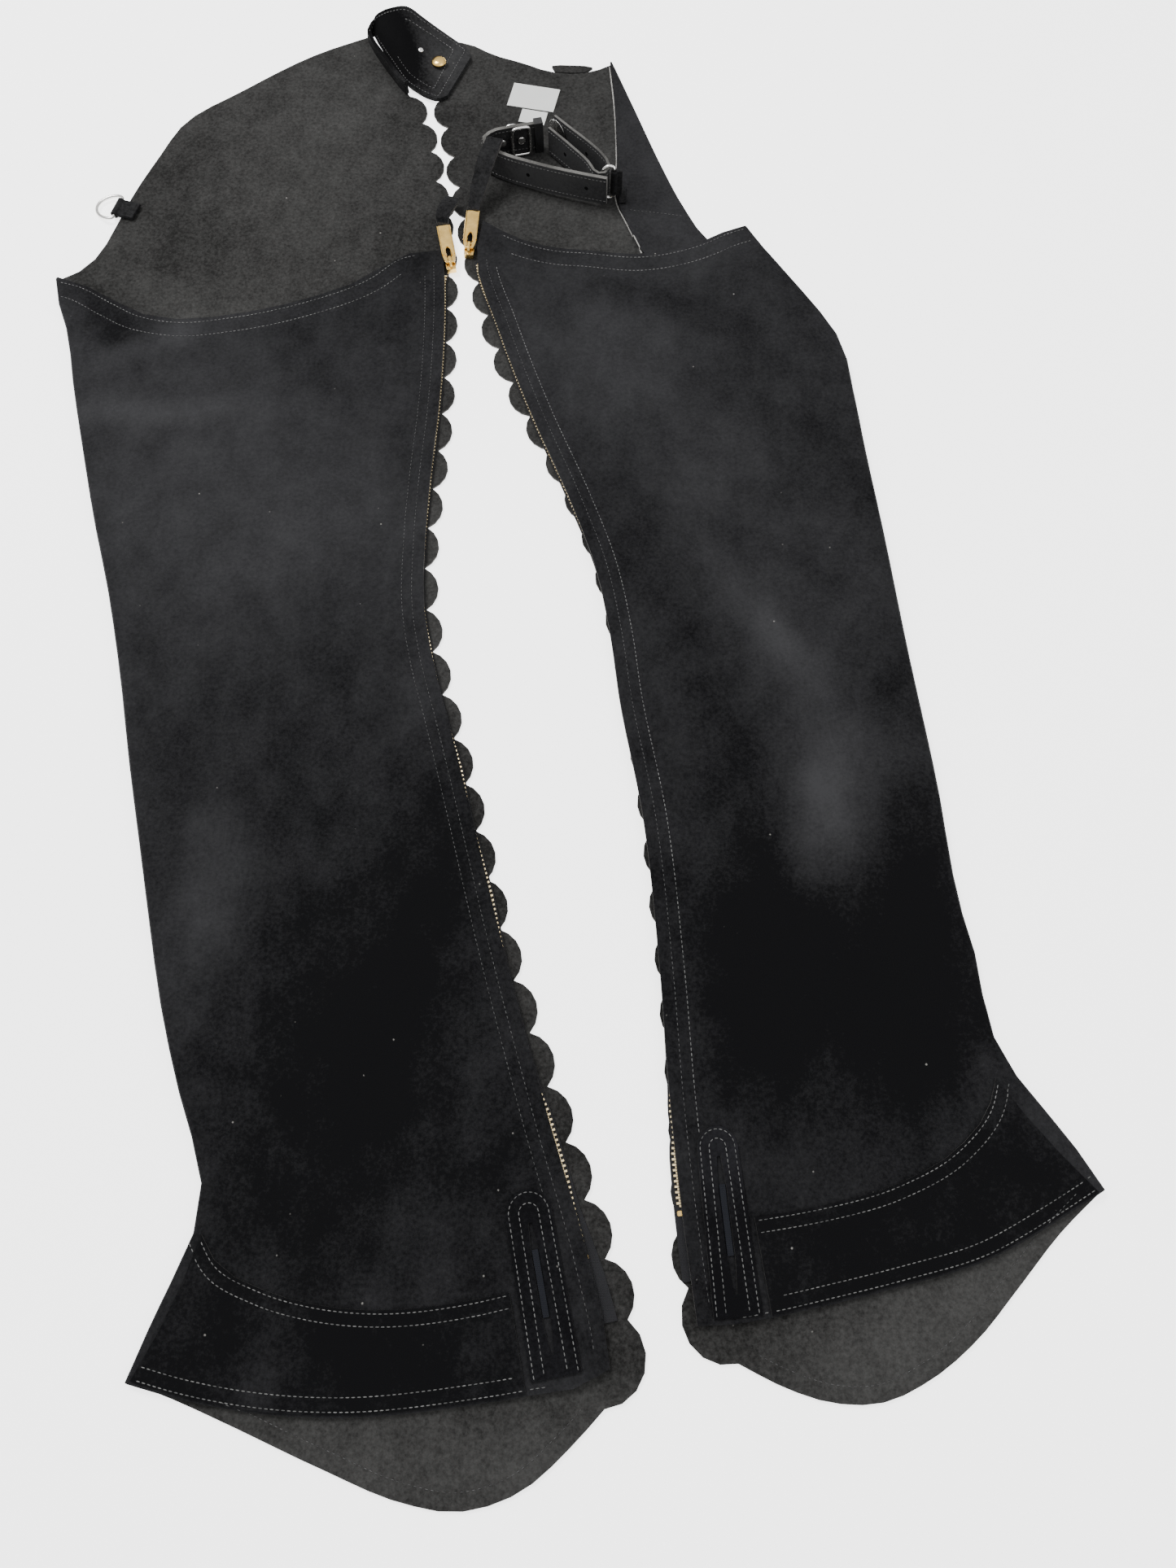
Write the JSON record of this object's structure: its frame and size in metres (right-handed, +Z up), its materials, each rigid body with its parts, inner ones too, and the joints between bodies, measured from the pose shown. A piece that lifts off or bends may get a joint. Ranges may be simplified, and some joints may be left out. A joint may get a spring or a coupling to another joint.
{
  "type": "suede western show chaps",
  "caption": "Pair of black suede show chaps laid flat, face down, with brass side zips, scalloped edges, back belt and front strap with buckle",
  "frame": {"origin": "middle of the footprint on the surface the chaps lie on", "axes": "+Y from the hems to the waist, +X across the legs to the right as seen from the feet, +Z up"},
  "size_m": [0.7128, 1.1164, 0.0345],
  "materials": {
    "suede": "black napped suede",
    "suede_trim": "black suede trim with topstitching",
    "black_leather": "smooth black leather",
    "brass": "polished brass",
    "nickel": "bright nickel plate",
    "zip_tape": "black woven tape with brass teeth",
    "label": "bare woven satin"
  },
  "bodies": {
    "garment": {"leg_left": "suede", "leg_right": "suede", "flare_left": "suede_trim", "flare_right": "suede_trim", "slot_patch_left": "suede_trim", "slot_patch_right": "suede_trim", "slot_tape_left": "zip_tape", "slot_tape_right": "zip_tape", "zip_left": "zip_tape", "zip_right": "zip_tape", "zip_slider_left": "brass", "zip_slider_right": "brass", "back_belt": "suede_trim", "belt_snap": "brass", "belt_end_behind": "suede_trim", "front_strap_long": "suede_trim", "front_strap_short": "suede_trim", "buckle_frame": "nickel", "strap_keeper": "black_leather", "strap_screw_left": "nickel", "strap_screw_right": "nickel", "concho_back": "nickel", "concho_front": "nickel", "ring_right": "nickel", "ring_loop_right": "suede_trim", "ring_loop_base": "suede_trim", "ring_loop_left": "suede_trim", "woven_label": "label", "size_tab": "label"},
    "pull_left": {"zip_pull_left": "brass", "pull_tab_left": "suede_trim"},
    "pull_right": {"zip_pull_right": "brass", "pull_tab_right": "suede_trim"},
    "side_ring": {"ring_left": "nickel"}
  },
  "joints": [
    {"name": "pull_left_hinge", "type": "hinge", "parent": "garment", "child": "pull_left", "pos_m": [-0.0475, 0.2895, 0.0076], "axis": [0.9816, 0.1908, 0], "range_deg": [0, 65]},
    {"name": "pull_right_hinge", "type": "hinge", "parent": "garment", "child": "pull_right", "pos_m": [-0.0333, 0.3045, 0.0076], "axis": [0.9986, -0.0523, 0], "range_deg": [0, 65]},
    {"name": "side_ring_hinge", "type": "hinge", "parent": "garment", "child": "side_ring", "pos_m": [-0.318, 0.3499, 0.004], "axis": [0.2588, 0.9659, 0], "range_deg": [0, 140]}
  ]
}
